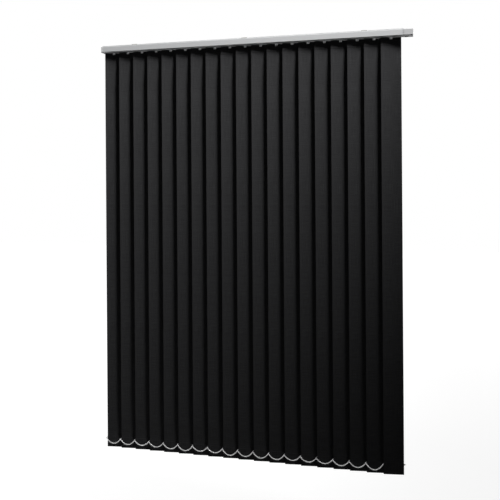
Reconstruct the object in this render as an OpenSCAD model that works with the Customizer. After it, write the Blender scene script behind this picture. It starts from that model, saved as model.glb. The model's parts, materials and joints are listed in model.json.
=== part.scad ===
// Vertical blind: fabric vanes on carriers in an aluminium headrail, linked below by bead chains.
// Units are mm, +Z is up, the room side faces -Y. The origin is on the ceiling plane, at the
// middle of the bracket screws.

/* [Vanes] */
// Number of hanging fabric vanes, an odd number
vane_count = 19; // [5:2:19]
// Spacing of the vanes along the rail when they are drawn across
vane_pitch = 74; // [64:1:80]
// Width of each fabric vane
vane_width = 89; // [84:1:100]
// Length of each vane from its top fold to its bottom fold
vane_drop = 1930; // [600:5:2200]
// Angle between a closed vane and the rail
closed_angle = 8; // [8:1:20]
// Thickness of one layer of fabric
fabric_t = 0.4; // [0.3:0.05:0.45]
// Height of the hanger plate in the top pocket
hanger_h = 26; // [20:1:34]

/* [Bottom weight and chain] */
// Thickness of the weight plate in the bottom pocket
weight_t = 2; // [1.6:0.1:2]
// Height of the chain pins above the bottom fold
pin_height = 44; // [30:1:60]
// Sag of the chain between two vanes
chain_sag = 23; // [16:1:40]
// Diameter of one chain bead
bead_d = 5.5; // [4.5:0.1:5.6]
// Free gap between two chain beads, along the chain
bead_gap = 0.4; // [0.3:0.1:0.8]

/* [Headrail] */
// Depth of the rail from the room side to the window side
rail_depth = 45; // [44:1:60]
// Height of the rail without its top ribs
rail_height = 28; // [28:1:40]
// Wall thickness of the aluminium section
rail_wall = 1.3; // [1:0.1:1.6]
// Width of the slot along the underside
rail_slot = 15; // [14:0.5:17]
// Rail length beyond the axis of the first and last vane
rail_overhang = 54; // [52:1:90]

/* [Carriers] */
// Spacing of the vanes when they are stacked
stack_pitch = 24; // [22:1:28]
// Diameter of the carrier wheels
wheel_d = 8; // [7:0.5:9]
// Diameter of the turning stem that holds a vane
stem_d = 5; // [4:0.5:6]
// Free height between the rail and the top fold of a vane
hook_gap = 7; // [7:1:24]

/* [Drive] */
// Diameter over the three lobes of the tilt rod
rod_d = 6; // [5:0.5:6.5]
// Diameter of the bead sprocket that turns the tilt rod
sprocket_d = 19; // [17:0.5:20]
// Outside diameter of the cord pulleys
pulley_d = 12; // [10:0.5:13]
// Length of the control housing at the right end
housing_len = 38; // [36:1:50]

/* [Brackets] */
// Distance from the middle bracket to each outer bracket
bracket_spacing = 550; // [60:5:600]
// Length of a bracket along the rail
bracket_len = 26; // [20:1:40]
// Diameter of the fixing holes
screw_hole_d = 4.6; // [4:0.1:5.5]
// Distance between the two holes of a bracket
screw_rows = 16; // [12:1:17]

/* [Hidden] */
$fn = 48;
overlap = 0.5;
run_gap = 0.3;
fit_gap = 0.05;

// Levels of the rail, measured down from the ceiling
plate_t = 1.5;
rib_h = 3.5;
rail_top = -plate_t - rib_h;
rail_bottom = rail_top - rail_height;
floor_z = rail_bottom + rail_wall;
inner_half = rail_depth / 2 - rail_wall;
corner_r = 3;
lip_h = 2.5;
lip_t = 1.2;
rib_y = 12.6;
rib_t = 1.2;
rib_lip = 3;
port_r = 1.4;
port_wall = 1.3;
port_y = inner_half - 2.6;
port_z = rail_top - rail_wall - 2.6;

// Places along the rail
span = (vane_count - 1) * vane_pitch;
rail_x0 = -span / 2 - rail_overhang;
rail_x1 = span / 2 + rail_overhang;
function vane_x(i) = (i - 1) * vane_pitch - span / 2;

// Carrier and stem levels
carrier_len = stack_pitch - 2;
body_z0 = floor_z + lip_h + 0.7;
body_z1 = body_z0 + 17.5;
body_half = 11.5;
rod_y = 9;
rod_z = body_z0 + 11;
rod_bore_r = rod_d / 2 + run_gap;
axle_z = floor_z + wheel_d / 2 + run_gap;
axle_r = 1.5;
wheel_w = 4;
wheel_y = inner_half - 6;
wheel_x = carrier_len / 2 - wheel_d / 2 - 0.5;
cord_y = -9;
cord_r = 1.6;
head_r = stem_d / 2 + 2.2;
head_h = 4;
head_z = rod_z - 2;
boss_r = stem_d / 2 + 2.5;
boss_z = body_z0 - 0.8;
strip_t = 0.4;
strip_w = 8;
strip_y = -6;
strip_rise = 0.04;
strip_back = 6;
strip_len = vane_pitch + strip_back + carrier_len / 2 - 2;
guide_t = 1;
guide_h = 3.4;

// Vane levels and its clip, hanger, pockets and weight
vane_top = rail_bottom - hook_gap;
vane_bottom = vane_top - vane_drop;
clip_w = 7;
clip_t = 5.5;
clip_top = boss_z - run_gap;
clip_bottom = vane_top + 1.5;
clip_pin_r = 1.3;
hanger_t = 1.2;
neck_w = 12;
eye_z = clip_top - 6.2;
eye_r = clip_pin_r + run_gap;
neck_top = eye_z + 4;
edge_gap = 1.5;
top_half = hanger_t / 2 + fit_gap + fabric_t;
low_half = weight_t / 2 + fit_gap + fabric_t;
weld_h = 5;
taper_h = 5;
pin_z = vane_bottom + pin_height;
pin_r = 1.2;
pin_reach = vane_width / 2 + 3.7;
arm_h = 3;
ring_h = 2.2;
ring_r = 3;
arm_z = pin_z + ring_h / 2 + 0.4;
weight_z0 = vane_bottom + low_half;
weight_z1 = arm_z + arm_h;

// Chain: a catenary between two pins, with beads at equal steps along its length
half_span = vane_pitch / 2;
function cosh_of(t) = (exp(t) + exp(-t)) / 2;
function sinh_of(t) = (exp(t) - exp(-t)) / 2;
function asinh_of(t) = ln(t + sqrt(t * t + 1));
function sag_of(a) = a * (cosh_of(half_span / a) - 1);
function solve_curve(low, high, steps) =
    steps == 0 ? (low + high) / 2
    : sag_of((low + high) / 2) > chain_sag ? solve_curve((low + high) / 2, high, steps - 1)
    : solve_curve(low, (low + high) / 2, steps - 1);
curve_a = solve_curve(10, 400, 40);
span_arc = 2 * curve_a * sinh_of(half_span / curve_a);
bead_steps = floor(span_arc / (bead_d + bead_gap + 0.03));
chain_y = low_half + bead_d / 2 + 0.5;
function arc_at(k) = (k / bead_steps - 0.5) * span_arc;
function bead_x(k) = curve_a * asinh_of(arc_at(k) / curve_a) + half_span;
function bead_z(k) = sqrt(curve_a * curve_a + arc_at(k) * arc_at(k)) - curve_a - chain_sag;

// End cap, control housing and drive
cap_t = 3;
cap_lip = 1;
plug_len = 24;
plug_gap = 0.2;
link_seat = 6;
plug_z1 = port_z - port_r - port_wall - 0.5;
journal_r = 2.2;
rod_x0 = rail_x0 + 6;
bearing_x = housing_len - 8;
rod_x1 = rail_x1 + bearing_x + 5;
pulley_w = 4;
pulley_pin_r = 1.5;
groove_r = pulley_d / 2 - 1.5;
return_y = cord_y - groove_r;
return_x = rail_x0 + 14;
guide_x = rail_x1 + housing_len / 2 - 4;
guide_z = rod_z - groove_r;
housing_wall = 2;
sprocket_w = 7;
sprocket_x = rail_x1 + housing_len / 2 - 6;
pocket_count = 10;
port_bite = 11;

function two_digits(i) = str(i < 10 ? "0" : "", i);
function vane_name(i) = str("vane_", two_digits(i));
function carrier_name(i) = str("carrier_", two_digits(i));

// Rectangle with round corners, from corner p to corner q
module round_rect(p, q, r) {
    translate([p.x + r, p.y])
        square([q.x - p.x - 2 * r, q.y - p.y]);
    translate([p.x, p.y + r])
        square([q.x - p.x, q.y - p.y - 2 * r]);
    for (x = [p.x + r, q.x - r])
        for (y = [p.y + r, q.y - r])
            translate([x, y]) circle(r);
}

// Extrudes a section drawn in Y and Z along X, from x0 to x1
module along_rail(x0, x1) {
    translate([x0, 0, 0])
        rotate([90, 0, 90])
            linear_extrude(x1 - x0) children();
}

// Cylinder along X
module rod_along(x0, x1, r) {
    translate([x0, 0, 0])
        rotate([0, 90, 0])
            cylinder(r = r, h = x1 - x0);
}

// Aluminium section: channel with a bottom slot, guide lips, screw ports and ribs for the brackets
module rail_section() {
    difference() {
        round_rect([-rail_depth / 2, rail_bottom], [rail_depth / 2, rail_top], corner_r);
        round_rect([-inner_half, floor_z], [inner_half, rail_top - rail_wall], corner_r - rail_wall);
        translate([-rail_slot / 2, rail_bottom - overlap])
            square([rail_slot, rail_wall + 2 * overlap]);
    }
    for (side = [-1, 1]) {
        translate([side * (rail_slot / 2 + lip_t / 2) - lip_t / 2, rail_bottom])
            square([lip_t, rail_wall + lip_h]);
        translate([side * (rib_y + rib_t / 2) - rib_t / 2, rail_top - overlap])
            square([rib_t, rib_h + overlap]);
        translate([side * (rib_y + rib_lip / 2) - rib_lip / 2, rail_top + rib_h - rib_t])
            square([rib_lip, rib_t]);
        difference() {
            translate([side * port_y, port_z]) circle(port_r + port_wall);
            translate([side * port_y, port_z]) circle(port_r);
            translate([side * (port_y - port_r - port_wall) - port_r / 2, port_z - port_r / 2])
                square([2 * port_r, port_r]);
        }
    }
}

module headrail() {
    color("White")
        along_rail(rail_x0, rail_x1) rail_section();
}

// Spring steel clip: a plate on the ceiling with two jaws under the ribs of the rail
module bracket(x) {
    jaw_y = rib_y + rib_lip + 1.6;
    jaw_t = 1.4;
    jaw_in = rib_y + rib_t + 0.6;
    jaw_z = rail_top + rib_h - rib_t - 0.2;
    color("Silver") {
        difference() {
            translate([x, 0, 0])
                along_rail(-bracket_len / 2, bracket_len / 2) {
                    translate([-jaw_y - jaw_t, -plate_t])
                        square([2 * (jaw_y + jaw_t), plate_t]);
                    for (side = [-1, 1]) {
                        translate([side * (jaw_y + jaw_t / 2) - jaw_t / 2, jaw_z - jaw_t])
                            square([jaw_t, -jaw_z + jaw_t - plate_t / 2]);
                        translate([side * (jaw_in + jaw_y + overlap) / 2, jaw_z - jaw_t / 2])
                            square([jaw_y + overlap - jaw_in, jaw_t], center = true);
                    }
                }
            for (y = [-screw_rows / 2, screw_rows / 2])
                translate([x, y, -plate_t - overlap])
                    cylinder(d = screw_hole_d, h = plate_t + 2 * overlap);
        }
    }
}

// Outline of the end pieces, a little larger than the rail
module cap_outline() {
    round_rect(
        [-rail_depth / 2 - cap_lip, rail_bottom - cap_lip],
        [rail_depth / 2 + cap_lip, rail_top + cap_lip],
        corner_r + cap_lip);
}

// Outline of the plug that stands inside the rail, above its floor and below the screw ports
module plug_outline() {
    translate([-inner_half + plug_gap, floor_z + lip_h + plug_gap])
        square([2 * (inner_half - plug_gap), plug_z1 - floor_z - lip_h - plug_gap]);
}

// Screw holes of an end piece, in line with the screw ports of the rail
module port_holes(x0, x1) {
    for (side = [-1, 1])
        translate([0, side * port_y, port_z])
            rod_along(x0, x1, port_r + fit_gap);
}

module end_cap() {
    slot_h = pulley_w + 2 * run_gap;
    color("WhiteSmoke") {
        difference() {
            union() {
                along_rail(rail_x0 - cap_t, rail_x0) cap_outline();
                along_rail(rail_x0 - overlap, rail_x0 + plug_len) plug_outline();
                translate([rail_x0 + plug_len - link_seat, strip_y - strip_w / 2, plug_z1 - overlap])
                    cube([link_seat, strip_w, body_z1 - plug_z1 + overlap]);
            }
            port_holes(rail_x0 - cap_t - overlap, rail_x0 + overlap);
            translate([0, rod_y, rod_z])
                rod_along(rod_x0 - 1, rail_x0 + plug_len + overlap, journal_r + fit_gap);
            translate([return_x - pulley_d / 2 - 1, -inner_half, rod_z - slot_h / 2])
                cube([plug_len, inner_half + cord_y + 3, slot_h]);
        }
        translate([return_x, return_y, rod_z - slot_h / 2 - overlap])
            cylinder(r = pulley_pin_r, h = slot_h + 2 * overlap);
    }
}

// Pair of pan head screws along +X, with their heads on the plane x = 0
module port_screws(length) {
    for (side = [-1, 1])
        translate([0, side * port_y, port_z]) {
            rod_along(-1.6, 0, 2.6);
            rod_along(-overlap, length, port_r - fit_gap);
        }
}

module end_screws() {
    color("Silver")
        translate([rail_x0 - cap_t, 0, 0]) port_screws(cap_t + port_bite);
}

module cover_screws() {
    color("Silver")
        translate([rail_x1 + housing_len + cap_t, 0, 0])
            mirror([1, 0, 0]) port_screws(housing_len + cap_t + port_bite);
}

// Strip that ties the first carrier to the end cap, so that the stack gathers there
module anchor_link() {
    color("Gainsboro")
        translate([rail_x0 + plug_len - link_seat, strip_y - strip_w / 2, body_z1])
            cube([vane_x(1) - strip_back - 1 - rail_x0 - plug_len + link_seat, strip_w, strip_t]);
}

// Grooved pulley with its axis along Z
module pulley() {
    bore_r = pulley_pin_r + fit_gap;
    rotate_extrude()
        polygon([
            [bore_r, -pulley_w / 2], [pulley_d / 2, -pulley_w / 2], [groove_r, -0.5],
            [groove_r, 0.5], [pulley_d / 2, pulley_w / 2], [bore_r, pulley_w / 2]]);
}

module return_pulley() {
    color("Gainsboro")
        translate([return_x, return_y, rod_z]) pulley();
}

module guide_pulley(y) {
    color("Gainsboro")
        translate([guide_x, y, guide_z])
            rotate([90, 0, 0]) pulley();
}

// Moulded housing for the controls, open to the rail and at its outer end
module control_housing() {
    x0 = rail_x1;
    x1 = rail_x1 + housing_len;
    inner = rail_depth / 2 + cap_lip - housing_wall;
    floor = rail_bottom - cap_lip + housing_wall;
    roof = plug_z1 - 1;
    color("WhiteSmoke") {
        difference() {
            union() {
                along_rail(x0, x1) cap_outline();
                along_rail(x0 - plug_len / 2, x0 + overlap) plug_outline();
            }
            translate([x0 + housing_wall, -inner, floor])
                cube([housing_len, 2 * inner, roof - floor]);
            translate([x0 + housing_wall, rod_y - sprocket_d / 2 - 1, floor])
                cube([housing_len, sprocket_d + 2, rail_top - housing_wall - floor]);
            translate([0, rod_y, rod_z])
                rod_along(x0 - plug_len, x1, rod_bore_r + 0.4);
            for (y = [cord_y, cord_y - 2 * groove_r])
                translate([0, y, rod_z])
                    rod_along(x0 - plug_len, x0 + 2 * housing_wall, cord_r);
            port_holes(x0 - overlap, x1 + overlap);
            translate([sprocket_x - sprocket_w / 2 - 1, rod_y - sprocket_d / 2 - 2, floor - 2 * housing_wall])
                cube([sprocket_w + 2, sprocket_d + 3, 3 * housing_wall]);
            translate([guide_x + groove_r - 2, cord_y - 2 * groove_r - 2, floor - 2 * housing_wall])
                cube([5, 2 * groove_r + 4, 3 * housing_wall]);
        }
        translate([guide_x, cord_y + pulley_w / 2 + 1, guide_z])
            rotate([90, 0, 0])
                cylinder(r = pulley_pin_r, h = inner + cord_y + pulley_w / 2 + 1 + overlap);
    }
}

// Outer cover with the boss that carries the end of the tilt rod
module control_cover() {
    x1 = rail_x1 + housing_len;
    color("WhiteSmoke")
        difference() {
            union() {
                along_rail(x1, x1 + cap_t) cap_outline();
                translate([0, rod_y, rod_z])
                    rod_along(rail_x1 + bearing_x, x1 + overlap, journal_r + 2.5);
            }
            translate([0, rod_y, rod_z])
                rod_along(rail_x1 + bearing_x - overlap, x1, journal_r + fit_gap);
            port_holes(x1 - overlap, x1 + cap_t + overlap);
        }
}

// Three-lobed rod with a round journal at each end
module tilt_rod() {
    lobe_r = rod_d / 6;
    spline_x0 = rail_x0 + plug_len + 1;
    spline_x1 = sprocket_x - sprocket_w / 2 - 1;
    color("Silver")
        translate([0, rod_y, rod_z]) {
            along_rail(spline_x0, spline_x1) {
                circle(rod_d / 2 - 0.6);
                for (turn = [0, 120, 240])
                    rotate(turn)
                        translate([rod_d / 2 - lobe_r, 0]) circle(lobe_r);
            }
            rod_along(rod_x0, spline_x0 + overlap, journal_r);
            rod_along(spline_x1 - overlap, rod_x1, journal_r);
        }
}

// Wheel with round pockets for a bead chain
module tilt_sprocket() {
    pocket_r = PI * sprocket_d / pocket_count / 2 - 0.4;
    color("Gainsboro")
        translate([sprocket_x, rod_y, rod_z])
            difference() {
                rod_along(-sprocket_w / 2, sprocket_w / 2, sprocket_d / 2);
                rod_along(-sprocket_w, sprocket_w, journal_r + 0.02);
                for (k = [0 : pocket_count - 1])
                    rotate([k * 360 / pocket_count, 0, 0])
                        translate([0, 0, sprocket_d / 2]) sphere(pocket_r);
            }
}

// Section of the carrier body, across the rail
module carrier_section() {
    shoulder = body_z0 + 6;
    chamfer = 1.5;
    polygon([
        [-body_half, body_z0 + chamfer], [-body_half + chamfer, body_z0],
        [body_half - chamfer, body_z0], [body_half, body_z0 + chamfer], [body_half, shoulder],
        [rod_y + 5.5, shoulder + 2], [rod_y + 5.5, body_z1 - chamfer],
        [rod_y + 5.5 - chamfer, body_z1], [-body_half, body_z1]]);
    for (y = [strip_y - strip_w / 2 - guide_t - run_gap, strip_y + strip_w / 2 + run_gap])
        translate([y, body_z1 - overlap])
            square([guide_t, guide_h + overlap]);
}

// Running body: moulded block on four wheels, bored for the rod, the cord and the stem
module carrier_body() {
    difference() {
        union() {
            along_rail(-carrier_len / 2, carrier_len / 2) carrier_section();
            translate([0, 0, boss_z])
                cylinder(r = boss_r, h = body_z0 - boss_z + overlap);
            for (x = [-wheel_x, wheel_x]) {
                translate([x, 0, axle_z])
                    rotate([90, 0, 0])
                        cylinder(r = axle_r, h = 2 * wheel_y + wheel_w + 1, center = true);
                for (side = [-1, 1])
                    translate([x, side * wheel_y, axle_z])
                        rotate([90, 0, 0])
                            cylinder(d = wheel_d, h = wheel_w, center = true);
            }
        }
        translate([0, rod_y, rod_z])
            rod_along(-carrier_len, carrier_len, rod_bore_r);
        translate([0, cord_y, rod_z])
            rod_along(-carrier_len, carrier_len, cord_r);
        translate([0, 0, boss_z - overlap])
            cylinder(r = stem_d / 2 + fit_gap, h = head_z - boss_z + 2 * overlap);
        translate([0, 0, head_z])
            cylinder(r = head_r + run_gap, h = head_h + run_gap);
    }
}

// Thin strip that sets the spacing to the next carrier; it rises so that the strips nest when stacked
module spacer_strip() {
    translate([-strip_back, strip_y - strip_w / 2, body_z1 + 0.1])
        rotate([0, -atan(strip_rise), 0])
            cube([strip_len, strip_w, strip_t]);
}

module carrier(i) {
    translate([vane_x(i), 0, 0]) {
        color("Gainsboro") carrier_body();
        if (i < vane_count)
            color("LightGray") spacer_strip();
    }
}

// Turning stem with the clip that takes the neck of the hanger
module stem() {
    difference() {
        union() {
            translate([0, 0, head_z])
                cylinder(r = head_r, h = head_h);
            translate([0, 0, clip_top - overlap])
                cylinder(d = stem_d, h = head_z - clip_top + 2 * overlap);
            translate([-clip_w / 2, -clip_t / 2, clip_bottom])
                cube([clip_w, clip_t, clip_top - clip_bottom]);
        }
        translate([-clip_w, -hanger_t / 2 - 0.2, clip_bottom - overlap])
            cube([2 * clip_w, hanger_t + 0.4, neck_top - clip_bottom + 0.3 + overlap]);
    }
    translate([0, 0, eye_z])
        rotate([90, 0, 0])
            cylinder(r = clip_pin_r, h = clip_t - 1, center = true);
}

// Plate in the top pocket, with a neck and an eye above the fabric
module hanger() {
    plate_w = vane_width - 2 * edge_gap;
    plate_z1 = vane_top - top_half;
    rotate([90, 0, 0])
        linear_extrude(hanger_t, center = true)
            difference() {
                union() {
                    round_rect([-plate_w / 2, plate_z1 - hanger_h], [plate_w / 2, plate_z1], 4);
                    round_rect([-neck_w / 2, plate_z1 - 6], [neck_w / 2, neck_top], 3);
                }
                translate([0, eye_z]) circle(eye_r);
            }
}

// Plate in the bottom pocket, with an arm and a chain pin at each upper corner
module weight() {
    plate_w = vane_width - 2 * edge_gap;
    rotate([90, 0, 0])
        linear_extrude(weight_t, center = true) {
            round_rect([-plate_w / 2, weight_z0], [plate_w / 2, weight_z1], 3);
            translate([-pin_reach, arm_z])
                square([2 * pin_reach, arm_h]);
        }
    for (side = [-1, 1])
        translate([side * pin_reach, 0, pin_z - ring_h])
            cylinder(r = pin_r, h = arm_z + arm_h - pin_z + ring_h);
}

// One pocket of the vane section: two layers round a plate, closed by a fold and tapering to a weld
// The fold is at v = 0 and the pocket goes up
module pocket_skin(half, depth) {
    translate([0, half]) circle(half);
    translate([-half, half])
        square([2 * half, depth - half]);
    polygon([
        [-half, depth], [half, depth], [fabric_t, depth + taper_h], [fabric_t, depth + taper_h + weld_h],
        [-fabric_t, depth + taper_h + weld_h], [-fabric_t, depth + taper_h]]);
}

module pocket_room(half, depth) {
    room = half - fabric_t;
    translate([0, half]) circle(room);
    translate([-room, half])
        square([2 * room, depth - half]);
    polygon([[-room, depth], [room, depth], [0, depth + taper_h]]);
}

// Section of the fabric, thickness against height
module fabric_section() {
    low_depth = weight_z1 - vane_bottom + 1;
    top_depth = top_half + hanger_h + 1;
    difference() {
        union() {
            translate([-fabric_t / 2, vane_bottom + low_depth + taper_h])
                square([fabric_t, vane_drop - low_depth - top_depth - 2 * taper_h]);
            translate([0, vane_bottom]) pocket_skin(low_half, low_depth);
            translate([0, vane_top]) mirror([0, 1]) pocket_skin(top_half, top_depth);
        }
        translate([0, vane_bottom]) pocket_room(low_half, low_depth);
        translate([0, vane_top]) mirror([0, 1]) pocket_room(top_half, top_depth);
    }
}

module fabric() {
    slit_w = neck_w + 2;
    slit_h = 4;
    difference() {
        along_rail(-vane_width / 2, vane_width / 2) fabric_section();
        translate([-slit_w / 2, -2 * top_half, vane_top - slit_h])
            cube([slit_w, 4 * top_half, slit_h + overlap]);
    }
}

module vane(i) {
    translate([vane_x(i), 0, 0])
        rotate([0, 0, closed_angle]) {
            color("Gainsboro") stem();
            color("WhiteSmoke") hanger();
            color("DimGray") fabric();
            color("WhiteSmoke") weight();
        }
}

// Eye on a chain pin, with the bead that the chain hangs from
module chain_eye() {
    difference() {
        union() {
            cylinder(r = ring_r, h = ring_h, center = true);
            translate([0, -chain_y, 0]) sphere(d = bead_d);
        }
        cylinder(r = pin_r + run_gap, h = 2 * ring_h, center = true);
    }
}

// Bead chain along one edge of all the vanes, on the room side of its pins
module bead_chain() {
    color("LightGray")
        for (i = [1 : vane_count])
            translate([vane_x(i) - pin_reach * cos(closed_angle), -pin_reach * sin(closed_angle), pin_z]) {
                chain_eye();
                if (i < vane_count)
                    for (k = [1 : bead_steps - 1])
                        translate([bead_x(k), -chain_y, bead_z(k)]) sphere(d = bead_d);
            }
}

module front_chain() {
    bead_chain();
}

// The window side has the same chain, turned half round
module rear_chain() {
    rotate([0, 0, 180]) bead_chain();
}

headrail();
bracket(-bracket_spacing);  // bracket_left
bracket(0);  // bracket_middle
bracket(bracket_spacing);  // bracket_right
end_cap();
end_screws();
anchor_link();
return_pulley();
control_housing();
control_cover();
cover_screws();
tilt_rod();
tilt_sprocket();
guide_pulley(cord_y - 2 * groove_r);  // guide_pulley_front
guide_pulley(cord_y);  // guide_pulley_rear
front_chain();
rear_chain();
for (i = [1 : vane_count]) {
    carrier(i);
    vane(i);
}
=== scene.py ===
"""Dressed model of a vertical blind: woven vanes, their fittings, bead chains and finishes."""

import json
import logging
import math
from abc import ABC, abstractmethod
from dataclasses import dataclass
from enum import Enum
from typing import Any, Iterable, NamedTuple

import bpy
import numpy as np
from mathutils import Euler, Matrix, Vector

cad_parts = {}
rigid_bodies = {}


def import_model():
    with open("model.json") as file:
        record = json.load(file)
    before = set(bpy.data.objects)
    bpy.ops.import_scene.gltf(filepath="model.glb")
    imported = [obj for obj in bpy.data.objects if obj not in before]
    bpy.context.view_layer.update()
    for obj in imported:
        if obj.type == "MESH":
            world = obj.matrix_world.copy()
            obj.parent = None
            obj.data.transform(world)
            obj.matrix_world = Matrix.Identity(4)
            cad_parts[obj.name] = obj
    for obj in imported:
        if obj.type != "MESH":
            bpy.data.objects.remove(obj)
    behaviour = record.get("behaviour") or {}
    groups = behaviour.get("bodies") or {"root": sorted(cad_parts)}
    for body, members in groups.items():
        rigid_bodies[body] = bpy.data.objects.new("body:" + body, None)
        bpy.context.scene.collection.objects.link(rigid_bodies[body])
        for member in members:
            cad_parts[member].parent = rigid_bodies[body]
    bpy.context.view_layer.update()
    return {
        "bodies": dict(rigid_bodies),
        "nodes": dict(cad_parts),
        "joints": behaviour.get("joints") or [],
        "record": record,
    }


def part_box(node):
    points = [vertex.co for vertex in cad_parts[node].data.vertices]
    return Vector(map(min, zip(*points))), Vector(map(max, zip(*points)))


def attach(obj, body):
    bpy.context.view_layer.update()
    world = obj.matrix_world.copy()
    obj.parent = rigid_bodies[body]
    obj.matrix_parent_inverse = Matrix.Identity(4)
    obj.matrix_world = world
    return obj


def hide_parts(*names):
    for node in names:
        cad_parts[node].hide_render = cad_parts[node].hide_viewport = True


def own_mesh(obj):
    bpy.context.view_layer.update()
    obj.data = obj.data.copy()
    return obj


log = logging.getLogger("blind")
MM = 0.001
TINY = 1e-12
CLOSED = math.radians(8)
FLOAT = "NodeSocketFloat"
VECTOR = "NodeSocketVector"
Array = np.ndarray
Tree = bpy.types.NodeTree
Socket = bpy.types.NodeSocket
Span = tuple[float, float]
Triple = tuple[float, float, float]
Color = Triple
UNIT: Span = (0.0, 1.0)
WHITE = (1.0, 1.0, 1.0, 1.0)


class Slot(Enum):
    """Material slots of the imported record."""

    RAIL = "coated_aluminium"
    SPRING = "spring_steel"
    WHITE = "white_plastic"
    SCREW = "screw_steel"
    STRIP = "clear_strip"
    GREY = "grey_plastic"
    ROD = "rod_aluminium"
    CHAIN = "chain_plastic"
    FABRIC = "vane_fabric"


class Edge(Enum):
    """Which edge of the closed vanes a chain runs along, as a sign on the pin's place."""

    FRONT = -1
    REAR = 1


@dataclass
class Surface:
    """A mesh under construction: points (n, 3), faces as index lists, and UVs (n, 2) in metres."""

    points: Array
    faces: list[list[int]]
    uv: Array

    @staticmethod
    def of(points: Array, faces: list[list[int]], uv: Array | None = None) -> "Surface":
        """A surface from points and faces, turned so that its faces point outwards.

        They do where the closed volume is positive: the sum of a.(b x c)/6 over a fan of triangles
        on each face.

        Args:
            points: Vertex places, shape (n, 3).
            faces: Vertex indices of each face.
            uv: UV of each vertex, or None for zeros.

        Returns:
            The surface.
        """
        fans = np.array([(f[0], f[k], f[k + 1]) for f in faces for k in range(1, len(f) - 1)])
        a, b, c = (points[fans[:, k]] for k in range(3))
        volume = np.einsum("ij,ij->i", a, np.cross(b, c)).sum() / 6
        outward = faces if volume >= 0 else [f[::-1] for f in faces]
        return Surface(points, outward, np.zeros((len(points), 2)) if uv is None else uv)

    def moved(self, turn: float, place: Iterable[float]) -> "Surface":
        """The surface turned about Z and then moved.

        Args:
            turn: Angle about Z in radians.
            place: Offset in metres.

        Returns:
            The surface in its new place.
        """
        c, s = math.cos(turn), math.sin(turn)
        spin = np.array([[c, s, 0.0], [-s, c, 0.0], [0.0, 0.0, 1.0]])
        return Surface(self.points @ spin + np.asarray(list(place)), self.faces, self.uv)


def joined(surfaces: Iterable[Surface]) -> Surface:
    """One surface that holds several, with their indices shifted.

    Args:
        surfaces: The surfaces, each closed on its own.

    Returns:
        The joined surface.
    """
    parts = list(surfaces)
    starts = np.cumsum([0] + [len(p.points) for p in parts])
    faces = [[int(i + start) for i in f] for p, start in zip(parts, starts) for f in p.faces]
    return Surface(np.concatenate([p.points for p in parts]), faces, np.concatenate([p.uv for p in parts]))


def loft(rings: Array, wrap: bool = False) -> Surface:
    """A profile carried along a path: point (i, j) is ring i's point j, and rings close on themselves.

    Args:
        rings: Ring points, shape (rings, points, 3).
        wrap: True if the last ring joins the first, otherwise both ends get a flat cap.

    Returns:
        The closed surface.
    """
    count, size = rings.shape[:2]
    row = np.arange(count if wrap else count - 1)[:, None]
    col = np.arange(size)[None, :]
    after, beside = (row + 1) % count, (col + 1) % size
    corners = ((row, col), (row, beside), (after, beside), (after, col))
    faces = np.stack([ring * size + spot for ring, spot in corners], axis=-1).reshape(-1, 4).tolist()
    if not wrap:
        faces += [list(range(size))[::-1], list(range((count - 1) * size, count * size))]
    return Surface.of(rings.reshape(-1, 3), faces)


def revolve(profile: Array, steps: int = 20, closed: bool = False) -> Surface:
    """A profile of radius and height turned about Z: (r cos a, r sin a, h) at each angle a.

    Args:
        profile: Radius and height pairs, shape (n, 2).
        steps: Points round the axis.
        closed: True if the profile is a loop, as for a ring.

    Returns:
        The closed surface.
    """
    angle = np.linspace(0, 2 * np.pi, steps, endpoint=False)
    radius, height = profile[:, 0, None], profile[:, 1, None]
    rings = np.stack([radius * np.cos(angle), radius * np.sin(angle), height + 0 * angle], axis=-1)
    return loft(rings, wrap=closed)


def smooth(share: Array) -> Array:
    """Smooth step from 0 to 1 by 3s^2 - 2s^3."""
    return share * share * (3 - 2 * share)


def rounded(corners: Array, radius: float, steps: int = 4, most: float = 0.45) -> Array:
    """A polygon with soft corners: each corner P becomes the curve (1-s)^2 A + 2s(1-s) P + s^2 B.

    A and B lie on the edges that meet in P, at the given distance or at a share of a short edge.

    Args:
        corners: Corner points, shape (n, 2).
        radius: Distance from each corner at which its curve starts.
        steps: Points on each corner.
        most: Largest share of an edge that one curve takes up.

    Returns:
        The outline, shape (n * steps, 2).
    """
    back, ahead = np.roll(corners, 1, axis=0) - corners, np.roll(corners, -1, axis=0) - corners
    reach = [np.minimum(radius / np.linalg.norm(v, axis=1, keepdims=True), most) * v for v in (back, ahead)]
    s = np.linspace(0, 1, steps)[None, :, None]
    a, p, b = (corners + reach[0])[:, None], corners[:, None], (corners + reach[1])[:, None]
    return ((1 - s) ** 2 * a + 2 * s * (1 - s) * p + s ** 2 * b).reshape(-1, 2)


def plate(side: Array, soft: float, thickness: float, bevel: float, steps: int = 4) -> Surface:
    """A flat plate with soft corners and bevelled rims, drawn in local X and Z, thick along Y.

    Its outline is the right side and the same side mirrored in X. Each rim ring is the outline
    moved inwards by the bevel along the mean normal of its edges.

    Args:
        side: Corners of the right side in X and Z, shape (n, 2).
        soft: Distance from each corner at which its curve starts.
        thickness: Thickness along Y.
        bevel: Width of the bevel.
        steps: Points on each corner.

    Returns:
        The closed surface.
    """
    corners = np.concatenate([side[:1] * [-1, 1], side, side[:0:-1] * [-1, 1]])
    outline = rounded(corners, soft, steps)
    ahead = np.roll(outline, -1, axis=0) - np.roll(outline, 1, axis=0)
    normal = np.stack([ahead[:, 1], -ahead[:, 0]], axis=1)
    normal /= np.maximum(np.linalg.norm(normal, axis=1, keepdims=True), TINY)
    x, z = outline.T
    area = np.sum(x * np.roll(z, -1) - np.roll(x, -1) * z)
    inset = outline - np.sign(area) * bevel * normal
    half = thickness / 2
    rings = [(inset, -half), (outline, -half + bevel), (outline, half - bevel), (inset, half)]
    return loft(np.stack([np.insert(o, 1, y, axis=1) for o, y in rings]))


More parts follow.
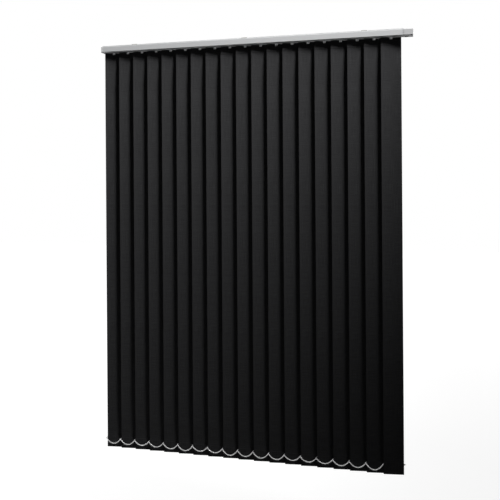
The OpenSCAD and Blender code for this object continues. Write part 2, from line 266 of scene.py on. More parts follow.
def shell(mid: Array, normal: Array, thickness: float, present: Array, uv: Array) -> Surface:
    """Cloth with a thickness: both faces lie at mid +- normal * thickness / 2, with a rim round every gap.

    Args:
        mid: Middle surface, shape (rows, columns, 3).
        normal: Unit normals of the middle surface, the same shape.
        thickness: Thickness of the cloth.
        present: Which cells of the grid are cloth, shape (rows - 1, columns - 1).
        uv: Place on the flat cut, shape (rows, columns, 2).

    Returns:
        The closed surface.
    """
    rows, cols = mid.shape[:2]
    points = np.concatenate([(mid + side * normal * thickness / 2).reshape(-1, 3) for side in (1, -1)])
    index = np.arange(rows * cols).reshape(rows, cols)
    a, b, c, d = index[:-1, :-1], index[:-1, 1:], index[1:, 1:], index[1:, :-1]
    cell = np.stack([a, b, c, d], axis=-1)[present]
    under = rows * cols
    faces = cell.tolist() + (cell[:, ::-1] + under).tolist()
    framed = np.pad(present, 1)
    inner = framed[1:-1, 1:-1]
    sides = (
        (framed[:-2, 1:-1], b, a), (framed[2:, 1:-1], d, c),
        (framed[1:-1, :-2], a, d), (framed[1:-1, 2:], c, b))
    for beside, start, end in sides:
        open_edge = inner & ~beside
        p, q = start[open_edge], end[open_edge]
        faces += np.stack([p, q, q + under, p + under], axis=1).tolist()
    used = np.unique(np.concatenate([np.asarray(f) for f in faces]))
    fresh = np.full(len(points), -1)
    fresh[used] = np.arange(len(used))
    both = np.concatenate([uv.reshape(-1, 2)] * 2)
    return Surface.of(points[used], [fresh[f].tolist() for f in faces], both[used])


def piece(name: str, surface: Surface, material: bpy.types.Material, sharp: float = 35.0) -> bpy.types.Object:
    """Puts a surface into the scene as a smooth-shaded mesh object at the origin.

    Args:
        name: Name of the object.
        surface: Its geometry in the shared frame.
        material: Its finish.
        sharp: Edges over this angle, in degrees, stay sharp.

    Returns:
        The new object.
    """
    mesh = bpy.data.meshes.new(name)
    mesh.from_pydata(surface.points.tolist(), [], surface.faces)
    corner = np.empty(len(mesh.loops), dtype=np.int32)
    mesh.loops.foreach_get("vertex_index", corner)
    layer = mesh.uv_layers.new(name="UVMap")
    layer.data.foreach_set("uv", surface.uv[corner].astype(np.float32).ravel())
    mesh.polygons.foreach_set("use_smooth", np.ones(len(mesh.polygons), dtype=bool))
    mesh.set_sharp_from_angle(angle=math.radians(sharp))
    mesh.materials.append(material)
    mesh.update()
    made = bpy.data.objects.new(name, mesh)
    bpy.context.scene.collection.objects.link(made)
    return made


def put(tree: Tree, kind: str, values: dict[Any, Any] | None = None, **settings: Any) -> bpy.types.Node:
    """Adds a shader node, sets its options, and sets or links its inputs.

    Args:
        tree: The node tree.
        kind: The node's type name.
        values: Input name or number to a value or to an output socket.
        settings: Options of the node.

    Returns:
        The new node.
    """
    made = tree.nodes.new(kind)
    for key, value in settings.items():
        setattr(made, key, value)
    for key, value in (values or {}).items():
        if isinstance(value, Socket):
            tree.links.new(value, made.inputs[key])
        else:
            made.inputs[key].default_value = value
    return made


def calc(tree: Tree, rule: str, *terms: Any) -> Socket:
    """A Math node on the given terms, each a number or a socket; returns its output."""
    return put(tree, "ShaderNodeMath", dict(enumerate(terms)), operation=rule).outputs[0]


def remap(tree: Tree, value: Any, source: Span, target: Span) -> Socket:
    """A Map Range node that carries a value from one span to another; returns its output."""
    return put(tree, "ShaderNodeMapRange", dict(enumerate((value, *source, *target)))).outputs[0]


def rgba(color: Color) -> tuple[float, float, float, float]:
    """A colour with full alpha."""
    return (*color, 1.0)


def tint(tree: Tree, factor: Any, low: Any, high: Any) -> Socket:
    """A colour between two colours or sockets by a factor; returns its output."""
    pair = [v if isinstance(v, Socket) else rgba(v) for v in (low, high)]
    return put(tree, "ShaderNodeMix", {0: factor, 6: pair[0], 7: pair[1]}, data_type="RGBA").outputs[2]


def use_group(tree: Tree, group: Tree, values: dict[str, Any]) -> bpy.types.Node:
    """Puts a shared group into a material with its own values."""
    return put(tree, "ShaderNodeGroup", values, node_tree=group)


def blank_group(name: str, inputs: dict[str, str], *outputs: str) -> tuple[Any, Any, Any]:
    """An empty shader group with named sockets.

    Args:
        name: Name of the group.
        inputs: Input names to socket types.
        outputs: Names of the values that it puts out.

    Returns:
        The group, the sockets that it is given and the sockets that it fills.
    """
    group = bpy.data.node_groups.new(name, "ShaderNodeTree")
    for key, kind in inputs.items():
        group.interface.new_socket(name=key, in_out="INPUT", socket_type=kind)
    for key in outputs:
        group.interface.new_socket(name=key, in_out="OUTPUT", socket_type=FLOAT)
    return group, group.nodes.new("NodeGroupInput").outputs, group.nodes.new("NodeGroupOutput").inputs


class Effects:
    """Shader groups that several finishes share, each built once."""

    CLOUDS_PER_M = 14.0
    SPECKS_PER_M = 60.0
    # Faces that look up, from a normal Z of 0.4 to 1, get settled dust and painted shade.
    DUST_AND_SHADE_UP: Span = (0.4, 1.0)

    def __init__(self) -> None:
        """Builds the groups."""
        self.weave = self._weave()
        self.streaks = self._streaks()
        self.grain = self._grain()
        self.dust_and_shade = self._dust_and_shade()

    @staticmethod
    def _weave() -> Tree:
        """Plain weave: rounded threads |sin(pi u)| and |sin(pi v)| that take turns in a chequer.

        Returns:
            The group.
        """
        group, given, filled = blank_group(
            "plain_weave", {"Vector": VECTOR, "Threads": FLOAT}, "Height", "Gap")
        split = put(group, "ShaderNodeSeparateXYZ", {0: given["Vector"]})
        u, v = (calc(group, "MULTIPLY", split.outputs[k], given["Threads"]) for k in (0, 1))
        waves = [calc(group, "SINE", calc(group, "MULTIPLY", t, math.pi)) for t in (u, v)]
        ridges = [calc(group, "ABSOLUTE", wave) for wave in waves]
        cells = calc(group, "ADD", calc(group, "FLOOR", u), calc(group, "FLOOR", v))
        turn = calc(group, "FLOORED_MODULO", cells, 2.0)
        height = put(group, "ShaderNodeMix", {"Factor": turn, "A": ridges[0], "B": ridges[1]}).outputs[0]
        group.links.new(height, filled["Height"])
        group.links.new(calc(group, "SUBTRACT", 1.0, calc(group, "MAXIMUM", *ridges)), filled["Gap"])
        return group

    @staticmethod
    def _streaks() -> Tree:
        """Slubs and drawing lines: noise stretched along one axis by scaling the other two.

        Returns:
            The group.
        """
        group, given, filled = blank_group(
            "streaks", {"Vector": VECTOR, "Stretch": VECTOR, "Detail": FLOAT}, "Value")
        place = put(
            group, "ShaderNodeVectorMath", {0: given["Vector"], 1: given["Stretch"]}, operation="MULTIPLY")
        noise = put(
            group, "ShaderNodeTexNoise",
            {"Vector": place.outputs[0], "Scale": 1.0, "Detail": given["Detail"], "Roughness": 0.6})
        group.links.new(noise.outputs["Fac"], filled["Value"])
        return group

    @staticmethod
    def _grain() -> Tree:
        """Moulded or sprayed skin: fine cells for the bump and broad clouds for the tint.

        Returns:
            The group.
        """
        group, given, filled = blank_group(
            "skin_grain", {"Vector": VECTOR, "Size": FLOAT}, "Height", "Clouds")
        place, scale = given["Vector"], calc(group, "DIVIDE", 1.0, given["Size"])
        cells = put(group, "ShaderNodeTexVoronoi", {"Vector": place, "Scale": scale}, feature="SMOOTH_F1")
        clouds = put(
            group, "ShaderNodeTexNoise", {"Vector": place, "Scale": Effects.CLOUDS_PER_M, "Detail": 4.0})
        group.links.new(cells.outputs["Distance"], filled["Height"])
        group.links.new(clouds.outputs["Fac"], filled["Clouds"])
        return group

    @staticmethod
    def _dust_and_shade() -> Tree:
        """Dust and painted shade on faces that look up: the normal's Z, broken up by noise.

        Returns:
            The group.
        """
        group, given, filled = blank_group("settled_dust", {"Vector": VECTOR, "Amount": FLOAT}, "Mask")
        face = put(group, "ShaderNodeNewGeometry")
        up = put(group, "ShaderNodeSeparateXYZ", {0: face.outputs["Normal"]}).outputs[2]
        specks = put(
            group, "ShaderNodeTexNoise",
            {"Vector": given["Vector"], "Scale": Effects.SPECKS_PER_M, "Detail": 5.0})
        # Darker tops: partly settled dust, partly painted shade that holds down the key lamp's light on them.
        broken = calc(group, "MULTIPLY", remap(group, up, Effects.DUST_AND_SHADE_UP, UNIT), specks.outputs["Fac"])
        group.links.new(calc(group, "MULTIPLY", broken, given["Amount"]), filled["Mask"])
        return group


class Look(NamedTuple):
    """What a finish feeds to its shader."""

    color: Socket
    roughness: Socket
    height: Socket


class Finish(ABC):
    """Common steps of all finishes: one shader, fed with the finish's own look."""

    name: str
    roughness: float
    spread: Span
    relief: float
    strength: float
    coords: str = "Object"

    @abstractmethod
    def sockets(self) -> dict[str, float]:
        """Values of the shader that are the same all over."""

    @abstractmethod
    def look(self, tree: Tree, place: Socket, effects: Effects) -> Look:
        """Adds the nodes of the finish.

        Args:
            tree: The material's node tree.
            place: Coordinates that the finish is laid out on.
            effects: The shared shader groups.

        Returns:
            The sockets that feed the shader.
        """

    def rough(self, tree: Tree, value: Any, source: Span) -> Socket:
        """Roughness that a value over the source span spreads about its mean."""
        low, high = (self.roughness + part for part in self.spread)
        return remap(tree, value, source, (low, high))

    def material(self, effects: Effects) -> bpy.types.Material:
        """Builds the material.

        Args:
            effects: The shared shader groups.

        Returns:
            The material.
        """
        made = bpy.data.materials.new(self.name)
        made.use_nodes = True
        tree = made.node_tree
        shader = tree.nodes["Principled BSDF"]
        for key, value in {"Roughness": self.roughness, **self.sockets()}.items():
            shader.inputs[key].default_value = value
        look = self.look(tree, put(tree, "ShaderNodeTexCoord").outputs[self.coords], effects)
        bump = put(
            tree, "ShaderNodeBump",
            {"Height": look.height, "Distance": self.relief, "Strength": self.strength})
        fed = {"Base Color": look.color, "Roughness": look.roughness, "Normal": bump.outputs[0]}
        for key, socket in fed.items():
            tree.links.new(socket, shader.inputs[key])
        return made


@dataclass(frozen=True)
class WovenFabric(Finish):
    """Charcoal polyester: a matt plain weave with slubs along both threads, on UVs in metres."""

    name: str = "charcoal_weave"
    thread: Color = (0.043, 0.043, 0.0446)
    slub: Color = (0.072, 0.072, 0.0747)
    gap: Color = (0.008, 0.008, 0.0085)
    threads_per_m: float = 1600.0
    warp: Triple = (900.0, 12.0, 1.0)
    weft: Triple = (20.0, 700.0, 1.0)
    slub_span: Span = (0.14, 0.4)
    gap_share: float = 0.7
    gloss: float = 0.01
    roughness: float = 0.8
    spread: Span = (0.06, -0.12)
    relief: float = 0.12 * MM
    strength: float = 0.5
    coords: str = "UV"

    def sockets(self) -> dict[str, float]:
        """Hardly any gloss."""
        return {"Specular IOR Level": self.gloss}

    def look(self, tree: Tree, place: Socket, effects: Effects) -> Look:
        """Threads that lighten to slubs, with dark gaps between them.

        Args:
            tree: The material's node tree.
            place: UVs of the flat cut.
            effects: The shared shader groups.

        Returns:
            The sockets that feed the shader.
        """
        weave = use_group(tree, effects.weave, {"Vector": place, "Threads": self.threads_per_m})
        yarns = [
            use_group(tree, effects.streaks, {"Vector": place, "Stretch": stretch, "Detail": 2.0})
            for stretch in (self.warp, self.weft)]
        slubs = calc(tree, "MULTIPLY", *(yarn.outputs[0] for yarn in yarns))
        share = remap(tree, slubs, self.slub_span, UNIT)
        gaps = calc(tree, "MULTIPLY", weave.outputs["Gap"], self.gap_share)
        return Look(
            tint(tree, gaps, tint(tree, share, self.thread, self.slub), self.gap),
            self.rough(tree, share, UNIT), calc(tree, "ADD", weave.outputs["Height"], slubs))


@dataclass(frozen=True)
class Skin(Finish):
    """Moulded plastic: a fine grain, clouds of two tints, a clear polish, and tops darkened by settled dust
    and painted shade.
    """

    name: str
    body: Color
    shade: Color
    # Colour, share of the darker tint and amount of the darker tops: settled dust and painted shade.
    dust_and_shade: Color | None = None
    dust_and_shade_share: float = 0.65
    dust_and_shade_amount: float = 0.8
    grain: float = 0.5 * MM
    roughness: float = 0.45
    spread: Span = (-0.08, 0.1)
    rough_by: str = "Height"
    rough_span: Span = (0.0, 0.7)
    polish: float = 0.0
    polish_rough: float = 0.12
    polish_ior: float = 1.5
    lustre: float = 0.0
    relief: float = 0.02 * MM
    strength: float = 0.4

    def sockets(self) -> dict[str, float]:
        """The clear polish over the body, and the body's lustre."""
        return {
            "Coat Weight": self.polish, "Coat Roughness": self.polish_rough, "Coat IOR": self.polish_ior,
            "Metallic": self.lustre}

    def look(self, tree: Tree, place: Socket, effects: Effects) -> Look:
        """Clouded body, darkened on its tops by settled dust and painted shade of their own colour, or of a
        share of the darker tint.

        Args:
            tree: The material's node tree.
            place: Object coordinates.
            effects: The shared shader groups.

        Returns:
            The sockets that feed the shader.
        """
        skin = use_group(tree, effects.grain, {"Vector": place, "Size": self.grain})
        dust_and_shade = use_group(tree, effects.dust_and_shade, {"Vector": place, "Amount": self.dust_and_shade_amount})
        # Colour of the darker tops, settled dust and painted shade: its own, or a share of the darker tint.
        dust_and_shade_color = self.dust_and_shade or tuple(self.dust_and_shade_share * part for part in self.shade)
        body = tint(tree, skin.outputs["Clouds"], self.body, self.shade)
        return Look(
            tint(tree, dust_and_shade.outputs["Mask"], body, dust_and_shade_color),
            self.rough(tree, skin.outputs[self.rough_by], self.rough_span), skin.outputs["Height"])


@dataclass(frozen=True)
class PowderCoat(Skin):
    """White sprayed coat on aluminium, with a soft orange-peel skin and its top darkened by settled dust and
    painted shade.
    """

    name: str = "white_coat"
    body: Color = (0.82, 0.83, 0.84)
    shade: Color = (0.78, 0.79, 0.795)
    # Dark grey on the top: settled dust and painted shade against the key lamp's light.
    dust_and_shade: Color = (0.45, 0.44, 0.42)
    dust_and_shade_amount: float = 1.0
    grain: float = 1.1 * MM
    roughness: float = 0.38
    spread: Span = (-0.05, 0.07)
    rough_by: str = "Clouds"
    rough_span: Span = (0.3, 0.7)
    polish: float = 0.15
    polish_rough: float = 0.3
    relief: float = 0.03 * MM
    strength: float = 0.35


@dataclass(frozen=True)
class DrawnMetal(Finish):
    """Bare metal with fine drawing lines along X."""

    name: str
    body: Color
    shade: Color
    roughness: float = 0.34
    spread: Span = (-0.1, 0.12)
    stretch: Triple = (18.0, 2600.0, 2600.0)
    line_span: Span = (0.3, 0.7)
    relief: float = 0.01 * MM
    strength: float = 0.3

    def sockets(self) -> dict[str, float]:
        """Metal all over."""
        return {"Metallic": 1.0}

    def look(self, tree: Tree, place: Socket, effects: Effects) -> Look:
        """Streaks that tint, roughen and raise the metal together."""
        lines = use_group(
            tree, effects.streaks, {"Vector": place, "Stretch": self.stretch, "Detail": 3.0}).outputs[0]
        return Look(tint(tree, lines, self.body, self.shade), self.rough(tree, lines, self.line_span), lines)


class Palette:
    """All finishes of the blind, by the record's slots."""

    def __init__(self, effects: Effects) -> None:
        """Builds one material for each slot.

        Args:
            effects: The shared shader groups.
        """
        # Skins and the powder coat darken their tops with settled dust and painted shade; the chain only a
        # little.
        finishes: dict[Slot, Finish] = {
            Slot.RAIL: PowderCoat(),
            Slot.SPRING: DrawnMetal("zinc_spring", (0.62, 0.62, 0.6), (0.48, 0.48, 0.47)),
            Slot.WHITE: Skin("white_moulding", (0.76, 0.765, 0.77), (0.71, 0.71, 0.715)),
            Slot.SCREW: DrawnMetal("zinc_screw", (0.58, 0.58, 0.57), (0.42, 0.42, 0.42), roughness=0.28),
            Slot.STRIP: Skin(
                "strip_plastic", (0.6, 0.6, 0.58), (0.52, 0.52, 0.5), grain=0.8 * MM, roughness=0.3),
            Slot.GREY: Skin("grey_moulding", (0.56, 0.56, 0.56), (0.49, 0.49, 0.49)),
            Slot.ROD: DrawnMetal("drawn_rod", (0.68, 0.68, 0.69), (0.55, 0.55, 0.56), roughness=0.3),
            Slot.CHAIN: Skin(
                "chain_plastic", (0.9, 0.9, 0.9), (0.86, 0.86, 0.86), grain=0.6 * MM, roughness=0.28,
                polish=1.0, dust_and_shade_amount=0.1, polish_ior=1.75, lustre=0.4),
            Slot.FABRIC: WovenFabric(),
        }
        self.of = {slot: finish.material(effects) for slot, finish in finishes.items()}

    def dress_frame(self, frame: dict[str, Any]) -> int:
        """Gives every CAD node the finish of its slot.


        Returns:
            How many nodes were dressed.
        """
        slots = {s["node"]: Slot(s["material_slot"]) for s in frame["record"]["subparts"]}
        for name, node in frame["nodes"].items():
            node.data.materials.clear()
            node.data.materials.append(self.of[slots[name]])
        return len(slots)


@dataclass
class VanePanel:
    """Fabric of one vane: a strip with a hem folded to the back at each end, round the plates."""

    width: float = 89 * MM
    fabric: float = 0.4 * MM
    top: float = -35 * MM
    drop: float = 1935 * MM
    top_half: float = 1.05 * MM
    low_half: float = 1.45 * MM
    top_depth: float = 33.05 * MM
    low_depth: float = 49.5 * MM
    taper: float = 5 * MM
    weld: float = 5 * MM
    slit_half: float = 5.4 * MM
    slit_depth: float = 9 * MM
    cup: float = 3 * MM
    settle: float = 160 * MM
    ripple: float = 0.15 * MM
    ripple_down: float = 5.2
    ripple_across: float = 30.0
    lean: float = 0.12 * MM
    lean_down: float = 2.1
    lap: float = 1.05
    hem_rows: int = 6
    fold_rows: int = 11
    strip_rows: int = 64
    side_columns: int = 5
    slit_columns: int = 4
    seed: int = 700

    def flat_size(self) -> tuple[float, float]:
        """Width and length of the cut: the drop and the two hems."""
        hems = self.top_depth + self.low_depth + 2 * (self.taper + self.weld)
        return self.width, self.drop + hems

    def _hem(self, half: float, depth: float) -> Array:
        """One hem's middle line, from its free end to the strip.

        The free end lies behind the strip, the line steps out over the plate by 3s^2 - 2s^3,
        turns a half circle round the fold and comes back to the middle in the same way.

        Args:
            half: Half the pocket's outer thickness.
            depth: Depth of the pocket from its fold.

        Returns:
            Thickness and distance from the fold at each point, shape (n, 2).
        """
        out, far = half - self.fabric / 2, depth + self.taper
        behind = self.lap * self.fabric
        s = np.linspace(0, 1, self.hem_rows)
        ease = smooth(s)
        free_end = np.array([[behind, far + self.weld]])
        rise = np.stack([behind + (out - behind) * ease, far - self.taper * s], axis=1)
        wall = np.array([[out, self.slit_depth], [out, half]])
        turn = np.linspace(0, np.pi, self.fold_rows)[1:-1]
        fold = np.stack([out * np.cos(turn), half - out * np.sin(turn)], axis=1)
        back = np.stack([-out * (1 - ease), depth + self.taper * s], axis=1)
        return np.concatenate([free_end, rise, wall, fold, wall[::-1] * [-1, 1], back])

    def _path(self) -> tuple[Array, Array]:
        """Middle line of the whole cut, and a window that is 1 on the free strip and 0 at the hems.

        Returns:
            The line as y and z, shape (n, 2), and the window, shape (n,).
        """
        upper = self._hem(self.top_half, self.top_depth) * [1, -1] + [0, self.top]
        bottom = self.top - self.drop
        lower = self._hem(self.low_half, self.low_depth)[::-1] + [0, bottom]
        start, end = upper[-1, 1], bottom + self.low_depth + self.taper
        z = np.linspace(start, end, self.strip_rows + 2)[1:-1]
        line = np.concatenate([upper, np.stack([0 * z, z], axis=1), lower])
        free = smooth(np.clip(np.minimum(start - z, z - end) / self.settle, 0, 1))
        return line, np.concatenate([np.zeros(len(upper)), free, np.zeros(len(lower))])

    def build(self, index: int) -> Surface:
        """The panel of one vane, in the vane's own frame.

        The middle surface is the path carried across the width. On the free strip it is hollow to the
        room by c (2/3 - (2u/w)^2), ripples by r sin(k z + p) sin(m u + q) and leans by
        l sin(n z + t) 2u/w, all faded out at the hems.

        Args:
            index: Number of the vane, which seeds its ripple and lean.

        Returns:
            The closed surface.
        """
        line, window = self._path()
        edge = np.linspace(self.slit_half, self.width / 2, self.side_columns)
        slit = np.linspace(-self.slit_half, self.slit_half, self.slit_columns)[1:-1]
        across = np.concatenate([-edge[::-1], slit, edge])
        rng = np.random.default_rng(self.seed + index)
        phase = rng.uniform(0, 2 * np.pi, 3)
        lean = rng.uniform(-1, 1) * self.lean
        u, y, z = across[None, :], line[:, 0, None], line[:, 1, None]
        side = 2 * u / self.width
        hollow = self.cup * (2 / 3 - side ** 2)
        down, over = self.ripple_down * z + phase[0], self.ripple_across * u + phase[1]
        wave = self.ripple * np.sin(down) * np.sin(over)
        twist = lean * np.sin(self.lean_down * z + phase[2]) * side
        depth = y + window[:, None] * (wave + twist + hollow)
        mid = np.stack([u + 0 * z, depth, z + 0 * u], axis=-1)
        normal = np.cross(*np.gradient(mid, axis=(0, 1)))
        normal /= np.linalg.norm(normal, axis=-1, keepdims=True)
        step = np.linalg.norm(np.diff(line, axis=0), axis=1)
        length = np.concatenate([[0], np.cumsum(step)])
        uv = np.stack([u + self.width / 2 + 0 * z, length[:, None] + 0 * u], axis=-1)
        high = (line[1:, 1] + line[:-1, 1]) / 2 > self.top - self.slit_depth
        inside = np.abs(across[1:] + across[:-1]) / 2 < self.slit_half
        return shell(mid, normal, self.fabric, ~(high[:, None] & inside[None, :]), uv)


@dataclass
class VaneFittings:
    """Stem with its clip, hanger plate and bottom weight of one vane, in the vane's own frame."""

    stem_r: float = 2.5 * MM
    stem_in: float = 0.2 * MM
    soft: float = 0.4 * MM
    bevel: float = 0.25 * MM
    head_r: float = 4.7 * MM
    head_z: float = -19.5 * MM
    head_h: float = 4 * MM
    clip_top: float = -29.6 * MM
    clip_bottom: float = -38.5 * MM
    clip_w: float = 7 * MM
    clip_t: float = 5.5 * MM
    clip_soft: float = 0.6 * MM
    lead: float = 0.3 * MM
    shoulder_z: float = -32.6 * MM
    prong_t: float = 3.8 * MM
    prong_top: float = -34.2 * MM
    slit: float = 1.6 * MM
    slit_top: float = -31.5 * MM
    eye_z: float = -35.8 * MM
    eye_r: float = 1.3 * MM
    eye_out: float = 0.2 * MM
    hanger_t: float = 1.2 * MM
    hanger_w: float = 86 * MM
    hanger_top: float = -41.05 * MM
    hanger_h: float = 26 * MM
    hanger_soft: float = 2.5 * MM
    neck_half: float = 4.2 * MM
    neck_top: float = -31.8 * MM
    weight_t: float = 2 * MM
    weight_low: float = -1968.55 * MM
    weight_high: float = -1921.5 * MM
    weight_soft: float = 1.1 * MM
    weight_bevel: float = 0.3 * MM
    arm_h: float = 3 * MM
    tip_h: float = 1.5 * MM
    pin_reach: float = 48.2 * MM
    pin_r: float = 1.2 * MM
    pin_low: float = -1928.2 * MM
    pin_in: float = 0.6 * MM
    pin_steps: int = 14
    foot: Span = (0.55, 1.08)
    foot_z: Triple = (0.3 * MM, 0.7 * MM, 1.0 * MM)
    ring_z: float = -1926 * MM
    ring_in: float = 1.35 * MM
    ring_out: float = 1.8 * MM
    ring_h: float = 2.2 * MM
    ring_soft: float = 0.15 * MM

    def _stem(self) -> Surface:
        """Turned stem: a head inside the carrier and a shaft that ends in the clip."""
        r, h, low, high, soft = self.stem_r, self.head_r, self.head_z, self.head_z + self.head_h, self.soft
        return revolve(np.array([
            [h - soft, high], [h, high - soft], [h, low + soft], [h - soft, low], [r, low],
            [r, self.clip_top - self.stem_in]]))

    def _clip(self) -> Surface:
        """Forked clip: a block that narrows to two prongs with a slit between them, bevelled all round.

        Returns:
            The closed surface.
        """
        t, p, s = self.clip_t / 2, self.prong_t / 2, self.slit / 2
        low, lead = self.clip_bottom, self.lead
        side = np.array([
            [t, self.clip_top], [t, self.shoulder_z], [p, self.prong_top], [p, low + 3 * lead],
            [p - lead, low], [s + lead, low], [s, low + 2 * lead], [s, self.slit_top]])
        return plate(side, self.clip_soft, self.clip_w, self.bevel, steps=3).moved(math.pi / 2, (0, 0, 0))

    def _cross_pin(self) -> Surface:
        """Round pin through the eye of the hanger, along the vane's thickness, with bevelled ends.

        Returns:
            The closed surface.
        """
        reach, r, soft = self.prong_t / 2 + self.eye_out, self.eye_r, self.soft
        turned = revolve(np.array([
            [r / 2, -reach], [r, -reach + soft], [r, reach - soft], [r / 2, reach]]), self.pin_steps)
        laid = turned.points[:, [0, 2, 1]] + np.array([0, 0, self.eye_z])
        return Surface.of(laid, turned.faces)

    def _hanger(self) -> Surface:
        """Hanger plate and its neck, cut from one outline with soft corners.

        Returns:
            The closed surface.
        """
        w, n, high = self.hanger_w / 2, self.neck_half, self.hanger_top
        side = np.array([[w, high - self.hanger_h], [w, high], [n, high], [n, self.neck_top]])
        return plate(side, self.hanger_soft, self.hanger_t, self.bevel)

    def _weight(self) -> Surface:
        """Weight plate with an arm at each upper corner, from one outline with soft corners.

        Returns:
            The closed surface.
        """
        w, reach = self.hanger_w / 2, self.pin_reach + self.pin_r
        high, arm = self.weight_high, self.weight_high - self.arm_h
        side = np.array([[w, self.weight_low], [w, arm], [reach, arm], [reach, arm + self.tip_h], [w, high]])
        return plate(side, self.weight_soft, self.weight_t, self.weight_bevel)

    def _chain_end(self) -> Surface:
        """Pin under an arm, with a wider rounded foot, and the ring of the chain that turns with it.

        Returns:
            Pin and ring on the Z axis.
        """
        r, low = self.pin_r, self.pin_low
        tip, wide = (share * r for share in self.foot)
        rises = [low + rise for rise in self.foot_z]
        pin = np.array([
            [tip, low], [wide, rises[0]], [wide, rises[1]], [r, rises[2]],
            [r, self.weight_high - self.arm_h + self.pin_in]])
        inner, outer, h = self.ring_in, self.ring_out, self.ring_h / 2
        section = np.array([[inner, -h], [outer, -h], [outer, h], [inner, h]])
        ring = revolve(rounded(section, self.ring_soft, steps=3), closed=True)
        return joined([revolve(pin, self.pin_steps), ring.moved(0, (0, 0, self.ring_z))])

    def build(self) -> Surface:
        """All fittings of one vane, as one surface."""
        ends = [self._chain_end().moved(0, (side * self.pin_reach, 0, 0)) for side in (-1, 1)]
        return joined([self._stem(), self._clip(), self._cross_pin(), self._hanger(), self._weight(), *ends])


@dataclass
class VaneRow:
    """All vanes on their axes, closed to the rail's line by a small angle."""

    axes: dict[str, float]
    palette: Palette

    def build(self) -> None:
        """Makes each vane's fabric and fittings and hangs them on their body."""
        panel, fittings = VanePanel(), VaneFittings().build()
        for index, (body, x) in enumerate(sorted(self.axes.items())):
            hung, plates = (part.moved(CLOSED, (x, 0, 0)) for part in (panel.build(index), fittings))
            cloth = piece(f"{body}_fabric", hung, self.palette.of[Slot.FABRIC], sharp=50)
            held = piece(f"{body}_fittings", plates, self.palette.of[Slot.WHITE])
            for made, slot in ((cloth, Slot.FABRIC), (held, Slot.WHITE)):
                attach(made, body)
            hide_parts(body)
            panel.flat_size()
        log.info("vanes: %d", len(self.axes))


